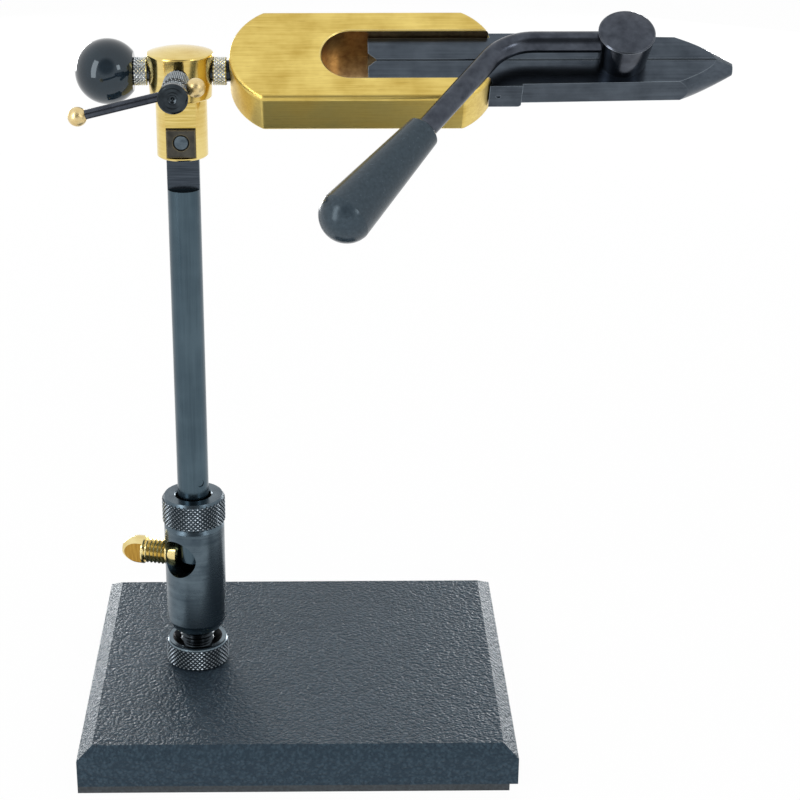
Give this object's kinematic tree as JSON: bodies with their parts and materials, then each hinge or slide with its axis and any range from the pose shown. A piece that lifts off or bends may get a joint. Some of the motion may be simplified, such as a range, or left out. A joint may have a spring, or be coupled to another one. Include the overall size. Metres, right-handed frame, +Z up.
{
  "type": "fly tying vise",
  "caption": "Pedestal fly tying vise: weighted base, socketed stem, brass rotary head and dark steel jaws opened by a cam lever with a conical grip.",
  "frame": {"origin": "middle of the base's underside, on the table", "axes": "+Z up the stem, +X along the jaws towards their tips, -Y towards the tier"},
  "size_m": [0.1883, 0.1179, 0.2195],
  "materials": {
    "base_coat": "textured powder coat",
    "pad_rubber": "matte",
    "dark_steel": "blued, satin",
    "jaw_steel": "black oxide, satin",
    "bright_steel": "turned",
    "satin_brass": "brushed",
    "polished_brass": "polished",
    "knob_plastic": "gloss",
    "grip_plastic": "satin",
    "plug_plastic": "plain"
  },
  "bodies": {
    "base": {"base_plate": "base_coat", "base_pad": "pad_rubber", "base_stud": "dark_steel", "base_screw": "bright_steel", "socket_barrel": "dark_steel"},
    "lock_nut": {"lock_nut": "dark_steel"},
    "collar_nut": {"collar_nut": "dark_steel"},
    "thumb_screw": {"thumb_screw": "polished_brass"},
    "stem_bush": {"stem_bush": "polished_brass"},
    "stem": {"stem": "dark_steel", "yoke": "polished_brass", "key_block": "dark_steel", "cross_pin": "dark_steel", "brake_plug": "plug_plastic"},
    "tension_screw": {"tension_screw": "dark_steel"},
    "tommy_bar": {"tommy_bar": "dark_steel", "tommy_ball_left": "polished_brass", "tommy_ball_right": "polished_brass"},
    "rotor": {"rotary_shaft": "dark_steel", "thrust_collar_left": "bright_steel", "thrust_collar_right": "bright_steel", "ball_knob": "knob_plastic", "jaw_body": "satin_brass", "jaw_spring_near": "bright_steel", "jaw_spring_far": "bright_steel"},
    "jaw_near": {"jaw_near": "jaw_steel", "jaw_pivot_near": "bright_steel"},
    "jaw_far": {"jaw_far": "jaw_steel", "jaw_pivot_far": "bright_steel"},
    "lever": {"cam_hub": "jaw_steel", "lever_rod": "jaw_steel", "lever_grip": "grip_plastic", "cam_washer": "bright_steel", "cam_screw": "bright_steel"}
  },
  "joints": [
    {"name": "lock_nut_turn", "type": "hinge", "parent": "base", "child": "lock_nut", "pos_m": [-0.032, 0, 0.0137], "axis": [0, 0, 1], "range_deg": [0, 360]},
    {"name": "collar_nut_turn", "type": "hinge", "parent": "base", "child": "collar_nut", "pos_m": [-0.032, 0, 0.0621], "axis": [0, 0, 1], "range_deg": [0, 360]},
    {"name": "thumb_screw_turn", "type": "hinge", "parent": "base", "child": "thumb_screw", "pos_m": [-0.032, 0, 0.05005], "axis": [-0.9703, 0.2419, 0], "range_deg": [0, 360]},
    {"name": "stem_swivel", "type": "hinge", "parent": "base", "child": "stem_bush", "pos_m": [-0.032, 0, 0.0621], "axis": [0, 0, 1], "continuous": true},
    {"name": "stem_slide", "type": "slide", "parent": "stem_bush", "child": "stem", "axis": [0, 0, 1], "range_m": [-0.0134, 0]},
    {"name": "tension_screw_turn", "type": "hinge", "parent": "stem", "child": "tension_screw", "pos_m": [-0.032, 0, 0.2022], "axis": [0, -1, 0], "range_deg": [0, 360]},
    {"name": "tommy_bar_slide", "type": "slide", "parent": "tension_screw", "child": "tommy_bar", "axis": [0.9715, 0, 0.2368], "range_m": [0, 0.0212]},
    {"name": "head_rotation", "type": "hinge", "parent": "stem", "child": "rotor", "pos_m": [-0.032, 0, 0.2022], "axis": [1, 0, 0], "continuous": true},
    {"name": "lever_turn", "type": "hinge", "parent": "rotor", "child": "lever", "pos_m": [0.092, 0, 0.2022], "axis": [0, -0.592, 0.8059], "range_deg": [0, 60]},
    {"name": "jaw_near_open", "type": "hinge", "parent": "rotor", "child": "jaw_near", "pos_m": [0.026, -0.0033, 0.19977], "axis": [0, -0.592, 0.8059], "range_deg": [-0.86, 0], "deforming": ["jaw_spring_near"]},
    {"name": "jaw_far_open", "type": "hinge", "parent": "rotor", "child": "jaw_far", "pos_m": [0.026, 0.0033, 0.20463], "axis": [0, -0.592, 0.8059], "range_deg": [0, 0.86], "deforming": ["jaw_spring_far"]}
  ],
  "couplings": [
    {"joint": "jaw_near_open", "follows": "lever_turn", "ratio": -0.014167},
    {"joint": "jaw_far_open", "follows": "lever_turn", "ratio": 0.014167}
  ]
}
